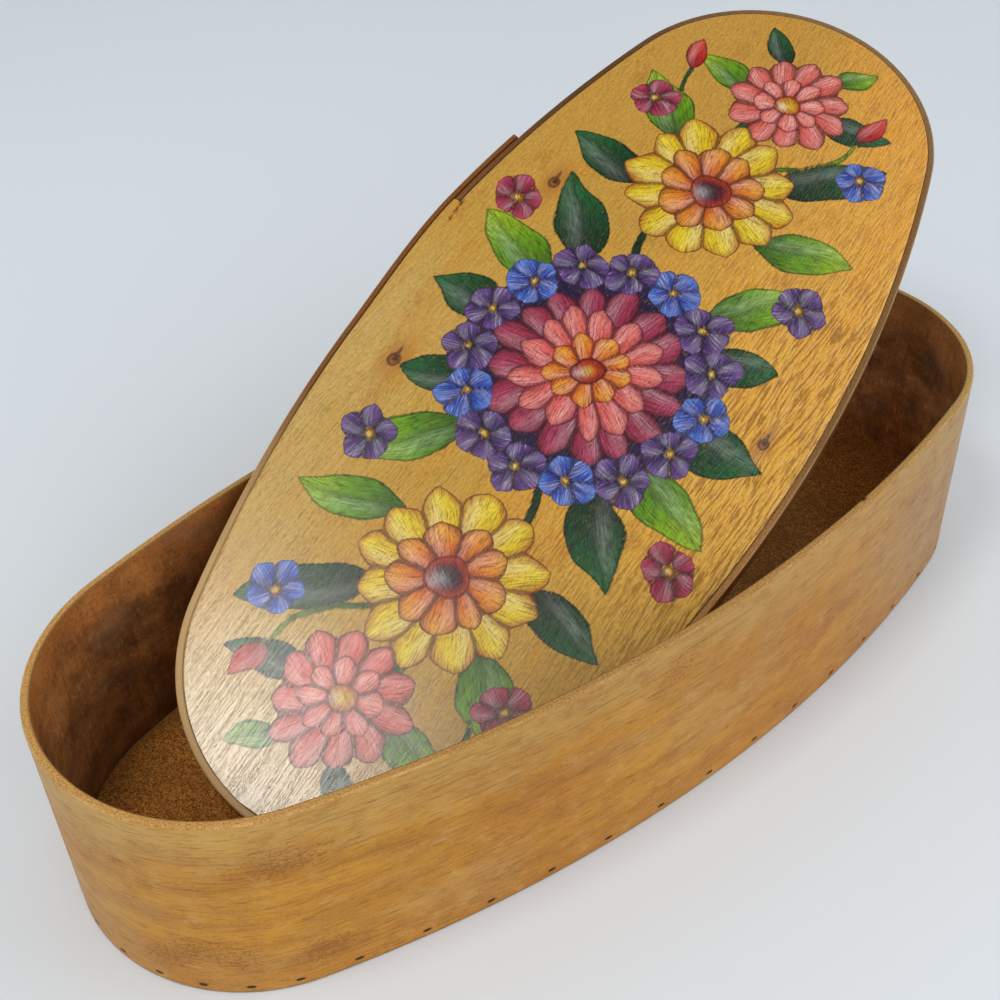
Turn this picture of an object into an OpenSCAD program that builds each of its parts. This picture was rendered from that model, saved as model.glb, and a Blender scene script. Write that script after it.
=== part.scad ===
// Oval bentwood box with a lift-off lid that leans inside the open box.
// The origin is at the centre of the underside, X runs along the box and Z is up. Sizes are in millimetres.

/* [Box] */
// Outside length of the box
body_l = 400; // [360:1:440]
// Outside width of the box
body_w = 172; // [160:1:184]
// Outside radius of the rounded ends
end_r = 67; // [63:0.5:71]
// Height of the bent side
body_h = 84; // [70:1:100]
// Thickness of the bent side
body_t = 3; // [2:0.1:4]
// Thickness of the bottom board
bottom_t = 5.5; // [4.5:0.1:8]
// Length of the glued scarf where the ends of the bent side meet
scarf_l = 14; // [8:1:15]

/* [Lid] */
// Thickness of the bent band of the lid
lid_t = 2.6; // [2:0.1:4]
// Depth of the band of the lid
lid_h = 11; // [9:0.5:16]
// Thickness of the lid panel
panel_t = 4; // [3:0.1:6]
// Gap between the closed lid and the side of the box
lid_fit = 0.4; // [0.3:0.1:1]
// Length of the overlap of the lid band
lap_l = 40; // [25:1:60]
// Length over which the lid band climbs onto its own end
ramp_l = 70; // [40:1:90]
// Place of the covered end of the lid band, from the middle of the long side
lap_x = 40; // [20:1:60]

/* [Leaning lid] */
// Turn of the lid about the vertical
lid_turn = 19.6; // [15:0.1:25]
// Tilt of the lid about its long axis
lid_roll = 13.7; // [8:0.1:18]
// Rise of the far end of the lid
lid_pitch = 20.1; // [15:0.1:25]
// Middle of the lid along the box
lid_x = 35.9; // [30:0.1:42]
// Middle of the lid across the box
lid_y = 22.1; // [16:0.1:28]
// Gap left where the lid rests on the box
rest_gap = 0.4; // [0.3:0.1:1]

/* [Brads] */
// Spacing of the brads round the ends
end_pitch = 16; // [12:1:30]
// Spacing of the brads along the sides
side_pitch = 23; // [21:1:40]
// Height of the brads in the edge of the bottom board
brad_z = 3.2; // [2.5:0.1:3.6]
// Length of a brad
brad_l = 14; // [10:0.5:18]
// Width of a brad head
head_w = 3.4; // [2.4:0.1:4]
// Height of a brad head
head_h = 1.5; // [1.2:0.1:2]
// Thickness of a brad head
head_t = 0.6; // [0.4:0.1:1]
// Height of a brad head above the wood
head_proud = 0.1; // [0:0.05:0.2]
// Side of the square wire of a brad
wire = 1.1; // [0.8:0.1:1.4]

/* [Fits] */
// Gap round a board inside its bent band
board_fit = 0.1; // [0.05:0.05:0.2]
// Gap round a brad in its hole
brad_fit = 0.05; // [0.02:0.01:0.1]
// Glue line between two layers of bent wood
glue = 0.2; // [0.1:0.05:0.4]

/* [Hidden] */
$fn = 180;
cut = 1;

// Four arcs make the oval: two end arcs about end_c and two side arcs of side_r, joined at join_a
end_c = body_l / 2 - end_r;
end_gap = body_w / 2 - end_r;
side_c = (end_c * end_c - end_gap * end_gap) / (2 * end_gap);
side_r = side_c + body_w / 2;
join_a = atan2(side_c, end_c);

// Outline of the lid, as distances out from the outline of the box
lid_in = lid_fit;
lid_out = lid_fit + lid_t;

// Brads on each end arc and on each side arc
end_n = round(2 * join_a / 180 * PI * end_r / end_pitch);
side_n = round((180 - 2 * join_a) / 180 * PI * side_r / side_pitch);

side_step = (180 - 2 * join_a) / side_n;

// Angle of a brad on a side arc, and the angle that an arc length spans
function side_a(i) = join_a + (i + 0.5) * side_step;
function arc_deg(len, r) = len / r * 180 / PI;

// Distance of a point from the outline of the box, negative inside
function out_of_oval(x, y) =
    let (ax = abs(x), ay = abs(y))
    ax * side_c < (ay + side_c) * end_c
        ? norm([ax, ay + side_c]) - side_r
        : norm([ax - end_c, ay]) - end_r;

// Points all round the outline, moved out by off, with f from 0 to 4 for the four arcs
function oval_point(f, off) =
    let (k = floor(f) % 4, u = f - floor(f), s = k < 2 ? 1 : -1)
    k % 2 == 0
        ? let (a = -join_a + 2 * join_a * u)
            [s * (end_c + (end_r + off) * cos(a)), s * (end_r + off) * sin(a)]
        : let (a = join_a + (180 - 2 * join_a) * u)
            [s * (side_r + off) * cos(a), s * (-side_c + (side_r + off) * sin(a))];

// Turn of the leaning lid as a matrix
function spin_x(a) = [[1, 0, 0], [0, cos(a), -sin(a)], [0, sin(a), cos(a)]];
function spin_y(a) = [[cos(a), 0, sin(a)], [0, 1, 0], [-sin(a), 0, cos(a)]];
function spin_z(a) = [[cos(a), -sin(a), 0], [sin(a), cos(a), 0], [0, 0, 1]];
lean = spin_z(lid_turn) * spin_x(lid_roll) * spin_y(-lid_pitch);

// The vertical line through p meets the lid's own level u at this height, and at this place on the lid
function level_z(p, u) = (u - lean[0][2] * p[0] - lean[1][2] * p[1]) / lean[2][2];
function level_xy(p, u) =
    let (z = level_z(p, u))
    [lean[0][0] * p[0] + lean[1][0] * p[1] + lean[2][0] * z,
     lean[0][1] * p[0] + lean[1][1] * p[1] + lean[2][1] * z];

// Heights in the lid at which its underside is looked for, from the lower edge up to the top
levels = concat([for (k = [0 : 1 : 15]) -lid_h + (lid_h - panel_t) * k / 15],
                [for (k = [0 : 1 : 9]) -panel_t + panel_t * k / 9]);
function in_lid(q, k) =
    let (d = out_of_oval(q[0], q[1]))
    d <= lid_out && (k >= 16 || d >= lid_in);
function first_hit(p, k) =
    k >= len(levels) ? -1 : in_lid(level_xy(p, levels[k]), k) ? k : first_hit(p, k + 1);

// Height of the underside of the lid over the point p, or undef beside the lid
function under_z(p) =
    let (k = first_hit(p, 0))
    k < 0 ? undef : level_z(p, levels[k == 0 || k == 16 ? k : k - 1]);

// Rise that the rim asks of the lid at one place, found more closely where the edge of the lid crosses the rim
function rise_at(f, off) =
    let (w = oval_point(f, off), z = under_z([w[0] - lid_x, w[1] - lid_y]))
    z == undef ? undef : body_h + rest_gap - z;
function rise_edge(f0, f1, off, n) =
    let (m = (f0 + f1) / 2, z0 = rise_at(f0, off), zm = rise_at(m, off))
    n == 0 ? (z0 == undef ? rise_at(f1, off) : z0)
        : (z0 == undef) == (zm == undef) ? rise_edge(m, f1, off, n - 1) : rise_edge(f0, m, off, n - 1);
function rises(off, n) =
    let (r = [for (i = [0 : n]) rise_at(4 * (i % n) / n, off)])
    [for (i = [0 : n - 1])
        if (r[i] != undef || r[i + 1] != undef)
            (r[i] == undef) == (r[i + 1] == undef)
                ? max(r[i], r[i + 1])
                : rise_edge(4 * i / n, 4 * (i + 1) / n, off, 8)];

// The lid is let down until it meets the rim or the bottom board
floor_rise = max([for (i = [0 : 79])
    let (q = oval_point(i / 20, lid_out))
    bottom_t + rest_gap - (lean * [q[0], q[1], -lid_h])[2]]);
lid_z = max(concat([floor_rise], rises(rest_gap, 240), rises(-body_t - rest_gap, 240)));

// A solid oval board, moved out by off, from z0 to z1
module board(off, z0, z1) {
    far = side_r;
    for (s = [0, 180])
        rotate([0, 0, s])
            translate([end_c, 0, z0])
                rotate([0, 0, -join_a])
                    rotate_extrude(angle = 2 * join_a)
                        square([end_r + off, z1 - z0]);
    intersection() {
        translate([0, -side_c, z0])
            cylinder(r = side_r + off, h = z1 - z0);
        translate([0, side_c, z0])
            cylinder(r = side_r + off, h = z1 - z0);
        translate([0, 0, z0])
            linear_extrude(height = z1 - z0)
                polygon([[end_c, 0],
                         [end_c + far * cos(join_a), far * sin(join_a)],
                         [-end_c - far * cos(join_a), far * sin(join_a)],
                         [-end_c, 0],
                         [-end_c - far * cos(join_a), -far * sin(join_a)],
                         [end_c + far * cos(join_a), -far * sin(join_a)]]);
    }
}

// A bent band between two distances from the outline
module band(in, out, z0, z1) {
    difference() {
        board(out, z0, z1);
        board(in, z0 - cut, z1 + cut);
    }
}

// A flat-headed brad driven in along -X, with its head at the surface x = 0
module brad(fit) {
    translate([-head_t + head_proud - fit, -head_w / 2 - fit, -head_h / 2 - fit])
        cube([head_t + 2 * fit, head_w + 2 * fit, head_h + 2 * fit]);
    translate([-brad_l - fit, -wire / 2 - fit, -wire / 2 - fit])
        cube([brad_l - head_t / 2 + fit, wire + 2 * fit, wire + 2 * fit]);
}

// Brads all round an outline that is moved out by off, at height z, but none between two angles at the back
module brads(off, z, fit, skip = [0, 0]) {
    for (s = [0, 180])
        rotate([0, 0, s]) {
            for (i = [0 : end_n - 1])
                translate([end_c, 0, z])
                    rotate([0, 0, -join_a + (i + 0.5) * 2 * join_a / end_n])
                        translate([end_r + off, 0, 0])
                            brad(fit);
            for (i = [0 : side_n - 1])
                if (s > 0 || side_a(i) < skip[0] || side_a(i) > skip[1])
                    translate([0, -side_c, z])
                        rotate([0, 0, side_a(i)])
                            translate([side_r + off, 0, 0])
                                brad(fit);
        }
}

// Point on the back arc at arc length x from the middle, at radius r
function back_point(x, r) =
    let (a = 90 - arc_deg(x, side_r))
    [r * cos(a), -side_c + r * sin(a)];

// The bent side: one strip whose tapered ends meet in a glued scarf at the back, midway between two brads
scarf_a = join_a + floor(side_n / 2) * side_step;
module body_band() {
    x0 = (90 - scarf_a) / 180 * PI * side_r - scarf_l / 2;
    x1 = x0 + scarf_l;
    color("burlywood")
        difference() {
            band(-body_t, 0, 0, body_h);
            translate([0, 0, -cut])
                linear_extrude(height = body_h + 2 * cut)
                    polygon([back_point(x0, side_r - body_t - cut),
                             back_point(x0, side_r - body_t - cut) + [0, glue],
                             back_point(x1, side_r + cut) + [0, glue],
                             back_point(x1, side_r + cut)]);
            brads(0, brad_z, brad_fit);
        }
}

// The bottom board inside the bent side, flush with its lower edge
module bottom_board() {
    color("peru")
        difference() {
            board(-body_t - board_fit, 0, bottom_t);
            brads(0, brad_z, brad_fit);
        }
}

// Brads through the bent side into the edge of the bottom board
module bottom_brads() {
    color("dimgray")
        brads(0, brad_z, 0);
}

// Carries what is drawn in the lid's own place to where the lid leans
module leaning() {
    translate([lid_x, lid_y, lid_z])
        rotate([0, 0, lid_turn])
            rotate([lid_roll, 0, 0])
                rotate([0, -lid_pitch, 0])
                    children();
}

// The lid band: one strip that climbs over its own end on the long side at the back
lap_r = side_r + lid_out;
tip_a = 90 - arc_deg(lap_x, lap_r);
end_a = tip_a - arc_deg(lap_l, lap_r);
foot_a = tip_a + arc_deg(ramp_l, lap_r);
climb = lid_t + glue;
lap_n = 32;
root = 6;
skin = 0.02;
lap_margin = arc_deg(head_w, lap_r);
lap_zone = [end_a - lap_margin, foot_a + lap_margin];
root_a = foot_a + arc_deg(root, lap_r);
function ease(u) = u * u * (3 - 2 * u);
function lap_point(a, r) =
    let (q = r + climb * ease(max(0, min(1, (foot_a - a) / (foot_a - tip_a)))))
    [q * cos(a), -side_c + q * sin(a)];
function lap_line(r) = [for (i = [0 : lap_n]) lap_point(root_a + (end_a - root_a) * i / lap_n, r)];
function turned(list) = [for (i = [len(list) - 1 : -1 : 0]) list[i]];

// The flat panel of the lid, flush with the top of its band, with a step where the covered end of the band starts
step_a = tip_a + arc_deg(board_fit, lap_r);
function step_line(r) = [for (i = [0 : lap_n]) lap_point(foot_a + (step_a - foot_a) * i / lap_n, r)];
module lid_panel() {
    near = side_r - 3 * lid_t;
    color("goldenrod")
        leaning()
            difference() {
                union() {
                    board(lid_in - board_fit, -panel_t, 0);
                    translate([0, 0, -panel_t])
                        linear_extrude(height = panel_t)
                            polygon(concat(step_line(side_r + lid_in - board_fit - skin),
                                           [[near * cos(step_a), -side_c + near * sin(step_a)],
                                            [near * cos(foot_a), -side_c + near * sin(foot_a)]]));
                }
                brads(lid_out, -panel_t / 2, brad_fit, lap_zone);
            }
}

// The bent strip of the lid with its two lapped layers
module lid_band() {
    near = side_r - lid_t;
    far = side_r + 3 * lid_t;
    color("sienna")
        leaning()
            difference() {
                union() {
                    difference() {
                        band(lid_in, lid_out, -lid_h, 0);
                        translate([0, -side_c, -lid_h - cut])
                            linear_extrude(height = lid_h + 2 * cut)
                                polygon([near * [cos(tip_a), sin(tip_a)], far * [cos(tip_a), sin(tip_a)],
                                         far * [cos(foot_a), sin(foot_a)], near * [cos(foot_a), sin(foot_a)]]);
                    }
                    translate([0, 0, -lid_h])
                        linear_extrude(height = lid_h)
                            polygon(concat(lap_line(side_r + lid_in + skin),
                                           turned(lap_line(side_r + lid_out - skin))));
                }
                brads(lid_out, -panel_t / 2, brad_fit, lap_zone);
            }
}

// Brads through the lid band into the edge of the panel
module lid_brads() {
    color("gray")
        leaning()
            brads(lid_out, -panel_t / 2, 0, lap_zone);
}

body_band();
bottom_board();
bottom_brads();
lid_panel();
lid_band();
lid_brads();
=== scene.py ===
import math

import bpy
import numpy as np
from mathutils import Matrix, Vector

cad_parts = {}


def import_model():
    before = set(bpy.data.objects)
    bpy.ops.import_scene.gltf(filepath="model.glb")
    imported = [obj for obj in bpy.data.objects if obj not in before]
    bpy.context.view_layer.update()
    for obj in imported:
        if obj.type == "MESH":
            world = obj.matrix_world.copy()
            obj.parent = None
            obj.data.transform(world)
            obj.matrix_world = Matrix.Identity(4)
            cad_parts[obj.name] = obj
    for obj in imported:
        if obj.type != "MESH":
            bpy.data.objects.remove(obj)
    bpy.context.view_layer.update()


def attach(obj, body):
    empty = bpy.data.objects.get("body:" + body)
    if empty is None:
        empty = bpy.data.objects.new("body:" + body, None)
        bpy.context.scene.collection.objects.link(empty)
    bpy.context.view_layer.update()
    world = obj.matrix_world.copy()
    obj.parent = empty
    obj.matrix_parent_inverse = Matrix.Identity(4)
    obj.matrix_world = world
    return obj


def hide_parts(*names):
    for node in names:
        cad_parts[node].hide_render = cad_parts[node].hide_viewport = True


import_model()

# Sizes of the box and its lid in millimetres, as in the CAD source
HALF_L, HALF_W, END_R = 200.0, 86.0, 67.0
BODY_H, BODY_T, BOTTOM_T = 84.0, 3.0, 5.5
SCARF_L, GLUE, BOARD_FIT = 14.0, 0.2, 0.1
LID_T, LID_H, PANEL_T, LID_FIT = 2.6, 11.0, 4.0, 0.4
LAP_L, RAMP_L, LAP_X = 40.0, 70.0, 40.0
LID_TURN, LID_ROLL, LID_PITCH = 19.6, 13.7, 20.1
LID_AT = (35.9, 22.1, 106.246)
END_BRADS, SIDE_BRADS = 11, 13
BRAD_Z, BRAD_L, HEAD_W, HEAD_H, HEAD_T, HEAD_PROUD, WIRE = 3.2, 14.0, 3.4, 1.5, 0.6, 0.1, 1.1
MM = 0.001

# Small roundings in millimetres, the rows of faces on each strip, and the grids of the two boards
RIM_OUT_R, RIM_IN_R, FOOT_R, SIDE_ROWS = 0.8, 0.55, 0.4, 10
BAND_OUT_R, BAND_IN_R, BAND_LOW_R, BAND_ROWS = 0.7, 0.15, 0.35, 3
BOARD_EDGE, BOARD_GRID = 0.4, (160, 60)
PANEL_EDGE, PANEL_GRID = 0.15, (420, 186)
TIP_GAP, LEAST_HALF_W, THIN = 0.02, 0.4, 0.06

# Four arcs of the oval: centre, radius, first and last angle
END_C = HALF_L - END_R
SIDE_C = (END_C ** 2 - (HALF_W - END_R) ** 2) / (2 * (HALF_W - END_R))
SIDE_R = SIDE_C + HALF_W
JOIN = math.atan2(SIDE_C, END_C)
ARCS = [
    (END_C, 0.0, END_R, -JOIN, JOIN),
    (0.0, -SIDE_C, SIDE_R, JOIN, math.pi - JOIN),
    (-END_C, 0.0, END_R, math.pi - JOIN, math.pi + JOIN),
    (0.0, SIDE_C, SIDE_R, math.pi + JOIN, 2 * math.pi - JOIN),
]
ARC_L = [r * (a1 - a0) for _, _, r, a0, a1 in ARCS]
ARC_START = np.concatenate([[0.0], np.cumsum(ARC_L)])
ROUND = float(ARC_START[-1])
# Middles of the left and the right end along the bent side, which starts and ends at the back,
# and of the stretch of the lid band darkened with painted shade
LEFT_S = ARC_START[2] + ARC_L[2] / 2
RIGHT_S = ROUND + ARC_L[0] / 2
BAND_RIGHT_S = ROUND + 40.0

LID_OUT = LID_FIT + LID_T
LAP_R = SIDE_R + LID_OUT
CLIMB = LID_T + GLUE
lid_place = (
    Matrix.Translation(Vector(LID_AT))
    @ Matrix.Rotation(math.radians(LID_TURN), 4, "Z")
    @ Matrix.Rotation(math.radians(LID_ROLL), 4, "X")
    @ Matrix.Rotation(math.radians(-LID_PITCH), 4, "Y")
)
IDENTITY = Matrix.Identity(4)


# Places on the oval
def oval_at(s):
    """Points and outward normals at arc lengths s round the outline of the box."""
    s = np.mod(np.asarray(s, float), ROUND)
    k = np.clip(np.searchsorted(ARC_START, s, side="right") - 1, 0, 3)
    arcs = np.array(ARCS)[k]
    a = arcs[:, 3] + (s - ARC_START[k]) / arcs[:, 2]
    normal = np.stack([np.cos(a), np.sin(a)], 1)
    return arcs[:, :2] + arcs[:, 2:3] * normal, normal


def half_width(x, off):
    """Half the width of the outline, moved out by off, at each x."""
    x = np.abs(np.asarray(x, float))
    side = -SIDE_C + np.sqrt(np.maximum((SIDE_R + off) ** 2 - x ** 2, 0))
    end = np.sqrt(np.maximum((END_R + off) ** 2 - (x - END_C) ** 2, 0))
    return np.where(x < END_C + (END_R + off) * math.cos(JOIN), side, end)


def brad_places():
    """Arc lengths of the brads: evenly spaced on each arc."""
    places = []
    for k, n in enumerate((END_BRADS, SIDE_BRADS, END_BRADS, SIDE_BRADS)):
        places += [ARC_START[k] + (i + 0.5) * ARC_L[k] / n for i in range(n)]
    return np.array(places)


def stations(first, last, step_end=3.0, step_side=4.0):
    """Arc lengths from first to last that hold every brad and every midpoint between two brads."""
    out = []
    for turn in range(-1, 3):
        for k, n in enumerate((END_BRADS, SIDE_BRADS, END_BRADS, SIDE_BRADS)):
            pieces = 2 * n * max(1, round(ARC_L[k] / (2 * n) / (step_end if k % 2 == 0 else step_side)))
            start = turn * ROUND + ARC_START[k]
            out.append(start + np.arange(pieces) * ARC_L[k] / pieces)
    s = np.concatenate(out)
    inner = s[(s > first + 0.3) & (s < last - 0.3)]
    return np.concatenate([[first], inner, [last]])


def brad_distance(s):
    s = np.mod(s, ROUND)[:, None]
    d = np.abs(s - brad_places()[None])
    return np.minimum(d, ROUND - d).min(1)


# Meshes
def make_object(name, verts, faces, place, fields, smooth=True):
    mesh = bpy.data.meshes.new(name)
    pts = np.asarray(verts, float)
    matrix = np.array(place)
    pts = pts @ matrix[:3, :3].T + matrix[:3, 3]
    mesh.from_pydata((pts * MM).tolist(), [], faces)
    for key, values in fields.items():
        values = np.asarray(values, np.float32)
        kind, slot = ("FLOAT", "value") if values.ndim == 1 else ("FLOAT_VECTOR", "vector")
        layer = mesh.attributes.new(key, kind, "POINT")
        layer.data.foreach_set(slot, values.ravel())
    flags = smooth if isinstance(smooth, list) else [smooth] * len(mesh.polygons)
    mesh.polygons.foreach_set("use_smooth", flags)
    mesh.update()
    piece = bpy.data.objects.new(name, mesh)
    bpy.context.scene.collection.objects.link(piece)
    return piece


def corner(o, z, r, a0, a1, n):
    a = np.radians(np.linspace(a0, a1, n))
    return [(o + r * math.cos(t), z + r * math.sin(t)) for t in a]


def face_rows(z0, z1, n):
    """Heights along a face, with a row close to each end so that the rounding stays narrow."""
    return [z0, z0 + 0.35] + list(np.linspace(z0, z1, n + 2)[1:-1]) + [z1 - 0.35, z1]


def strip_section(o_in, o_out, z0, z1, r_out, r_in, r_low, rows):
    """Section of a bent strip, from its outer face over the top to its inner face."""
    most = 0.46 * (o_out - o_in)
    r_out, r_in, r_low = (min(r, most) for r in (r_out, r_in, r_low))
    pts = [(o_out, z) for z in face_rows(z0 + r_low, z1 - r_out, rows)]
    pts += corner(o_out - r_out, z1 - r_out, r_out, 15, 90, 5)
    pts += corner(o_in + r_in, z1 - r_in, r_in, 90, 165, 5)
    pts += [(o_in, z) for z in face_rows(z0 + r_low, z1 - r_in, rows)[::-1]]
    pts += corner(o_in + r_low, z0 + r_low, r_low, 200, 270, 3)
    pts += corner(o_out - r_low, z0 + r_low, r_low, 270, 340, 3)
    return np.array(pts)


def sweep(name, s, sections, place):
    """A closed solid strip along arc lengths s, with one section at each and a flat cap at both ends."""
    point, normal = oval_at(s)
    n, m = len(s), len(sections[0])
    sec = np.array(sections)
    xy = point[:, None, :] + normal[:, None, :] * sec[:, :, :1]
    verts = np.concatenate([xy, sec[:, :, 1:2]], 2).reshape(-1, 3)
    i, j = np.meshgrid(np.arange(n - 1), np.arange(m), indexing="ij")
    k = (j + 1) % m
    quads = np.stack([i * m + j, (i + 1) * m + j, (i + 1) * m + k, i * m + k], -1).reshape(-1, 4)
    faces = quads.tolist() + [list(range(m)), list(range((n - 1) * m, n * m))[::-1]]
    low, far = sec[:, :, 0].min(1, keepdims=True), sec[:, :, 0].max(1, keepdims=True)
    along = np.repeat(s, m)
    fields = {
        "along": along,
        "high": verts[:, 2],
        "across": ((sec[:, :, 0] - low) / (far - low)).ravel(),
        "brad": np.repeat(brad_distance(s), m),
        "stain": stain_at(along, verts[:, 2]),
    }
    return make_object(name, verts, faces, place, fields)


# Stains on the outer face: arc length, height, spread along, spread up, strength
STAINS = (
    (646, 63, 22, 7, 1.0), (616, 24, 16, 8, 0.9), (627, 19, 14, 7, 0.9), (655, 15, 13, 9, 1.0),
    (602, 14, 13, 7, 0.9), (671, 32, 20, 12, 0.4), (592, 60, 16, 9, 0.6), (680, 54, 24, 7, 0.4),
    (577, 58, 14, 9, 0.5), (927, 58, 16, 12, 0.5), (906, 56, 14, 12, 0.4), (895, 15, 20, 9, 0.4),
    (876, 39, 20, 12, 0.4), (787, 70, 16, 8, 0.7), (753, 79, 14, 5, 0.5), (735, 51, 26, 11, 0.45),
    (739, 26, 22, 9, 0.4), (832, 57, 20, 12, 0.35), (30, 40, 24, 16, 0.4), (110, 26, 22, 12, 0.6),
    (240, 60, 30, 9, 0.5), (330, 22, 26, 10, 0.7), (400, 52, 24, 10, 0.5), (470, 30, 20, 12, 0.5),
    (530, 20, 22, 10, 0.6),
)
# Place of the small chip in the inner edge of the rim
CHIP_S = 885.0


def stain_at(s, z):
    total = np.zeros(len(s))
    for s0, z0, ds, dz, k in STAINS:
        gap = np.mod(s - s0 + ROUND / 2, ROUND) - ROUND / 2
        total = np.maximum(total, k * np.exp(-(gap / ds) ** 2 - ((z - z0) / dz) ** 2))
    return total


def body_band():
    # The scarf lies midway between two brads of the back
    scarf = ARC_START[1] + (SIDE_BRADS // 2) * ARC_L[1] / SIDE_BRADS
    first, last = scarf - SCARF_L / 2, scarf + ROUND + SCARF_L / 2
    s = stations(first, last)
    s = np.unique(np.concatenate([
        s, np.linspace(first, first + SCARF_L, 5), np.linspace(last - SCARF_L, last, 5),
        CHIP_S + np.linspace(-2, 2, 9)]))
    sections = []
    for v in s:
        thin = np.clip((v - first) / SCARF_L, 0.04, 1)
        thick = np.clip((last - v) / SCARF_L, 0.04, 1)
        o_out = 0.0 if v - first > SCARF_L else -(1 - thin) * BODY_T - GLUE / 2
        o_in = -BODY_T if last - v > SCARF_L else -thick * BODY_T + GLUE / 2
        o_in = min(o_in, o_out - THIN)
        o_out = max(o_out, o_in + THIN)
        wave = 0.12 * math.sin(v / 41.0) + 0.08 * math.sin(v / 17.0 + 1.3) - 0.2
        chip = 0.75 * max(0.0, 1 - abs(v - CHIP_S) / 1.6)
        sections.append(strip_section(
            o_in, o_out, 0.0, BODY_H + wave, RIM_OUT_R, RIM_IN_R + chip, FOOT_R, SIDE_ROWS))
    return sweep("bent_side", s, sections, IDENTITY)


def ease(u):
    u = np.clip(u, 0, 1)
    return u * u * (3 - 2 * u)


# The lid's lap runs from its covered tip to the foot of its climb, as angles on the back arc
TIP_A = math.pi / 2 - LAP_X / LAP_R
END_A = TIP_A - LAP_L / LAP_R
FOOT_A = TIP_A + RAMP_L / LAP_R


def back_s(angle):
    return ARC_START[1] + (angle - JOIN) * SIDE_R


def lid_climb(angle):
    return CLIMB * ease((FOOT_A - angle) / (FOOT_A - TIP_A))


def lid_band():
    """One strip: from its blunt end over the lap, the long way round, to the tip under the lap."""
    top_end, tip = back_s(END_A), back_s(TIP_A) + ROUND
    s = stations(top_end, tip)
    foot = back_s(FOOT_A)
    s = np.unique(np.concatenate([s, np.linspace(top_end, foot, 36)]))
    sections = []
    for v in s:
        up = float(lid_climb(JOIN + (v - ARC_START[1]) / SIDE_R)) if v < foot else 0.0
        low = 0.05 * math.sin(v / 23.0) - 0.06
        sections.append(strip_section(
            LID_FIT + up, LID_OUT + up, -LID_H, low, BAND_OUT_R, BAND_IN_R, BAND_LOW_R, BAND_ROWS))
    # The strip turns back on itself beyond the whole round, so the last stretch lies under the first
    return sweep("lid_rim", s, sections, lid_place)


def flat_board(name, low_y, high_y, xs, z0, z1, edge, columns, place):
    """A closed board whose top is a fine grid between two edges, with a small rounding all round."""
    n, m = len(xs), columns
    v = np.linspace(0, 1, m)
    inset = np.minimum(edge, 0.3 * (high_y - low_y))
    top = np.stack([
        np.repeat(xs, m),
        ((low_y + inset)[:, None] + (high_y - low_y - 2 * inset)[:, None] * v[None]).ravel(),
        np.full(n * m, z1)], 1)
    rings = []
    for y in (low_y, high_y):
        rings.append(np.stack([xs, y, np.full(n, z1 - edge)], 1))
    for y in (low_y, high_y):
        rings.append(np.stack([xs, y, np.full(n, z0)], 1))
    verts = np.concatenate([top] + rings)
    lo, hi, lo2, hi2 = (n * m + k * n for k in range(4))
    i, j = np.meshgrid(np.arange(n - 1), np.arange(m - 1), indexing="ij")
    faces = np.stack([i * m + j, (i + 1) * m + j, (i + 1) * m + j + 1, i * m + j + 1], -1).reshape(-1, 4).tolist()
    for a in range(n - 1):
        b = a + 1
        faces += [[a * m, lo + a, lo + b, b * m], [lo + a, lo2 + a, lo2 + b, lo + b]]
        faces += [[b * m + m - 1, hi + b, hi + a, a * m + m - 1], [hi + b, hi2 + b, hi2 + a, hi + a]]
        faces.append([lo2 + a, hi2 + a, hi2 + b, lo2 + b])
    for a, flip in ((0, False), (n - 1, True)):
        loop = [a * m + c for c in range(m)] + [hi + a, hi2 + a, lo2 + a, lo + a]
        faces.append(loop[::-1] if flip else loop)
    # Only the top and its rounding are smooth, so that the sides and the underside stay flat
    smooth = [True] * ((n - 1) * (m - 1)) + [True, False, True, False, False] * (n - 1) + [False, False]
    return make_object(name, verts, faces, place, {"spot": verts}, smooth)


def board_stations(half, count):
    """Places along a board, closer together where its ends curve round."""
    a = np.linspace(-math.pi / 2, math.pi / 2, count)
    even = np.linspace(-1, 1, count)
    return half * (0.55 * even + 0.45 * np.sin(a))


def bottom_board():
    off = -BODY_T - BOARD_FIT
    xs = board_stations(HALF_L + off - TIP_GAP, BOARD_GRID[0])
    w = np.maximum(half_width(xs, off), LEAST_HALF_W)
    board = flat_board("bottom", -w, w, xs, 0.0, BOTTOM_T, BOARD_EDGE, BOARD_GRID[1], IDENTITY)
    spot = np.array([v.co for v in board.data.vertices]) / MM
    layer = board.data.attributes.new("edge", "FLOAT", "POINT")
    layer.data.foreach_set("value", (half_width(spot[:, 0], off) - np.abs(spot[:, 1])).astype(np.float32))
    return board


def lid_panel():
    off = LID_FIT - BOARD_FIT
    tip_x = (SIDE_R + off) * math.cos(TIP_A + BOARD_FIT / LAP_R)
    xs = board_stations(HALF_L + off - TIP_GAP, PANEL_GRID[0])
    # Two close stations make the sharp step at the tip of the band
    xs = np.unique(np.concatenate([xs[np.abs(xs - tip_x) > 0.4], [tip_x - 0.05, tip_x + 0.05]]))
    w = np.maximum(half_width(xs, off), LEAST_HALF_W)
    angle = np.arccos(np.clip(xs / (SIDE_R + off), -1, 1))
    extra = np.where((xs < tip_x) & (np.abs(xs) < 120), lid_climb(angle) - 0.03, 0.0)
    back = w + np.maximum(extra, 0)
    return flat_board("lid_top", -w, back, xs, -PANEL_T, 0.0, PANEL_EDGE, PANEL_GRID[1], lid_place)


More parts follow.
